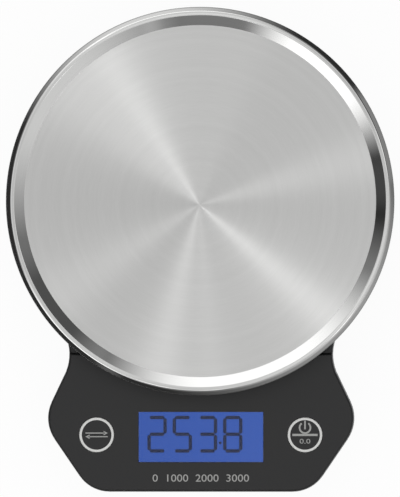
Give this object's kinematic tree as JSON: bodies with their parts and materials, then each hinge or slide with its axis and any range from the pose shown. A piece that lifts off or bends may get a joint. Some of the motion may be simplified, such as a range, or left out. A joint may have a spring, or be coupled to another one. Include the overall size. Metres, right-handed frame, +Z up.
{
  "type": "digital kitchen scale",
  "caption": "Flat digital kitchen scale: a round rimmed steel tray on a moulded housing that flares into a front panel with a display window and push buttons.",
  "frame": {"origin": "on the table, under the middle of the object's bounding box", "axes": "+Z up, -Y towards the user at the front panel, +X to the user's right"},
  "size_m": [0.16, 0.2, 0.036],
  "materials": {
    "black_abs": "moulded, fine satin texture",
    "panel_abs": "moulded, fine satin texture",
    "tray_steel": "spun brushed disc, polished rim",
    "foam_tape": "foam tape",
    "beam_aluminium": "milled",
    "gauge_film": "polyimide film with foil",
    "silicone": "cast silicone",
    "screw_steel": "zinc plated",
    "wire_sleeve": "PVC sleeve",
    "board_green": "solder resist on glass epoxy",
    "epoxy_black": "cast epoxy",
    "component_body": "ceramic and metal cans",
    "switch_black": "moulded",
    "plunger_grey": "moulded",
    "window_acrylic": "polished clear sheet",
    "display_blue": "backlit blue liquid-crystal cell",
    "guide_acrylic": "frosted light guide",
    "led_white": "moulded package",
    "frame_white": "moulded",
    "strip_rubber": "layered silicone",
    "battery_sleeve": "printed sleeve, plain",
    "contact_nickel": "nickel plated spring steel",
    "foot_rubber": "moulded"
  },
  "bodies": {
    "housing": {"base_shell": "black_abs", "top_shell": "panel_abs", "load_cell": "beam_aluminium", "strain_gauges": "gauge_film", "gauge_coating": "silicone", "load_cell_base_screws": "screw_steel", "load_cell_wires": "wire_sleeve", "main_board": "board_green", "controller_blob": "epoxy_black", "board_components": "component_body", "unit_switch": "switch_black", "tare_switch": "switch_black", "display_window": "window_acrylic", "display_glass": "display_blue", "display_light_guide": "guide_acrylic", "display_leds": "led_white", "display_frame": "frame_white", "display_contact_strip": "strip_rubber", "battery_front": "battery_sleeve", "battery_rear": "battery_sleeve", "battery_springs": "contact_nickel", "battery_contacts": "contact_nickel", "battery_leads": "wire_sleeve", "foot_front_left": "foot_rubber", "foot_front_right": "foot_rubber", "foot_rear_left": "foot_rubber", "foot_rear_right": "foot_rubber", "housing_screws": "screw_steel", "board_screws": "screw_steel"},
    "platform": {"weighing_tray": "tray_steel", "tray_tape_pads": "foam_tape", "tray_carrier": "black_abs", "load_cell_tray_screws": "screw_steel"},
    "unit_key": {"unit_button": "panel_abs", "unit_switch_plunger": "plunger_grey"},
    "tare_key": {"tare_button": "panel_abs", "tare_switch_plunger": "plunger_grey"},
    "door": {"battery_door": "black_abs"}
  },
  "joints": [
    {"name": "tray_deflection", "type": "slide", "parent": "housing", "child": "platform", "axis": [0, 0, -1], "range_m": [0, 0.0006], "stiffness_N_per_m": 58800, "springref_m": -0.00004, "deforming": ["load_cell"]},
    {"name": "unit_button_press", "type": "slide", "parent": "housing", "child": "unit_key", "axis": [0, 0, -1], "range_m": [0, 0.0005], "stiffness_N_per_m": 3200},
    {"name": "tare_button_press", "type": "slide", "parent": "housing", "child": "tare_key", "axis": [0, 0, -1], "range_m": [0, 0.0005], "stiffness_N_per_m": 3200},
    {"name": "battery_door_swing", "type": "hinge", "parent": "housing", "child": "door", "pos_m": [0, 0.0389, 0.0032], "axis": [-1, 0, 0], "range_deg": [0, 95]}
  ]
}
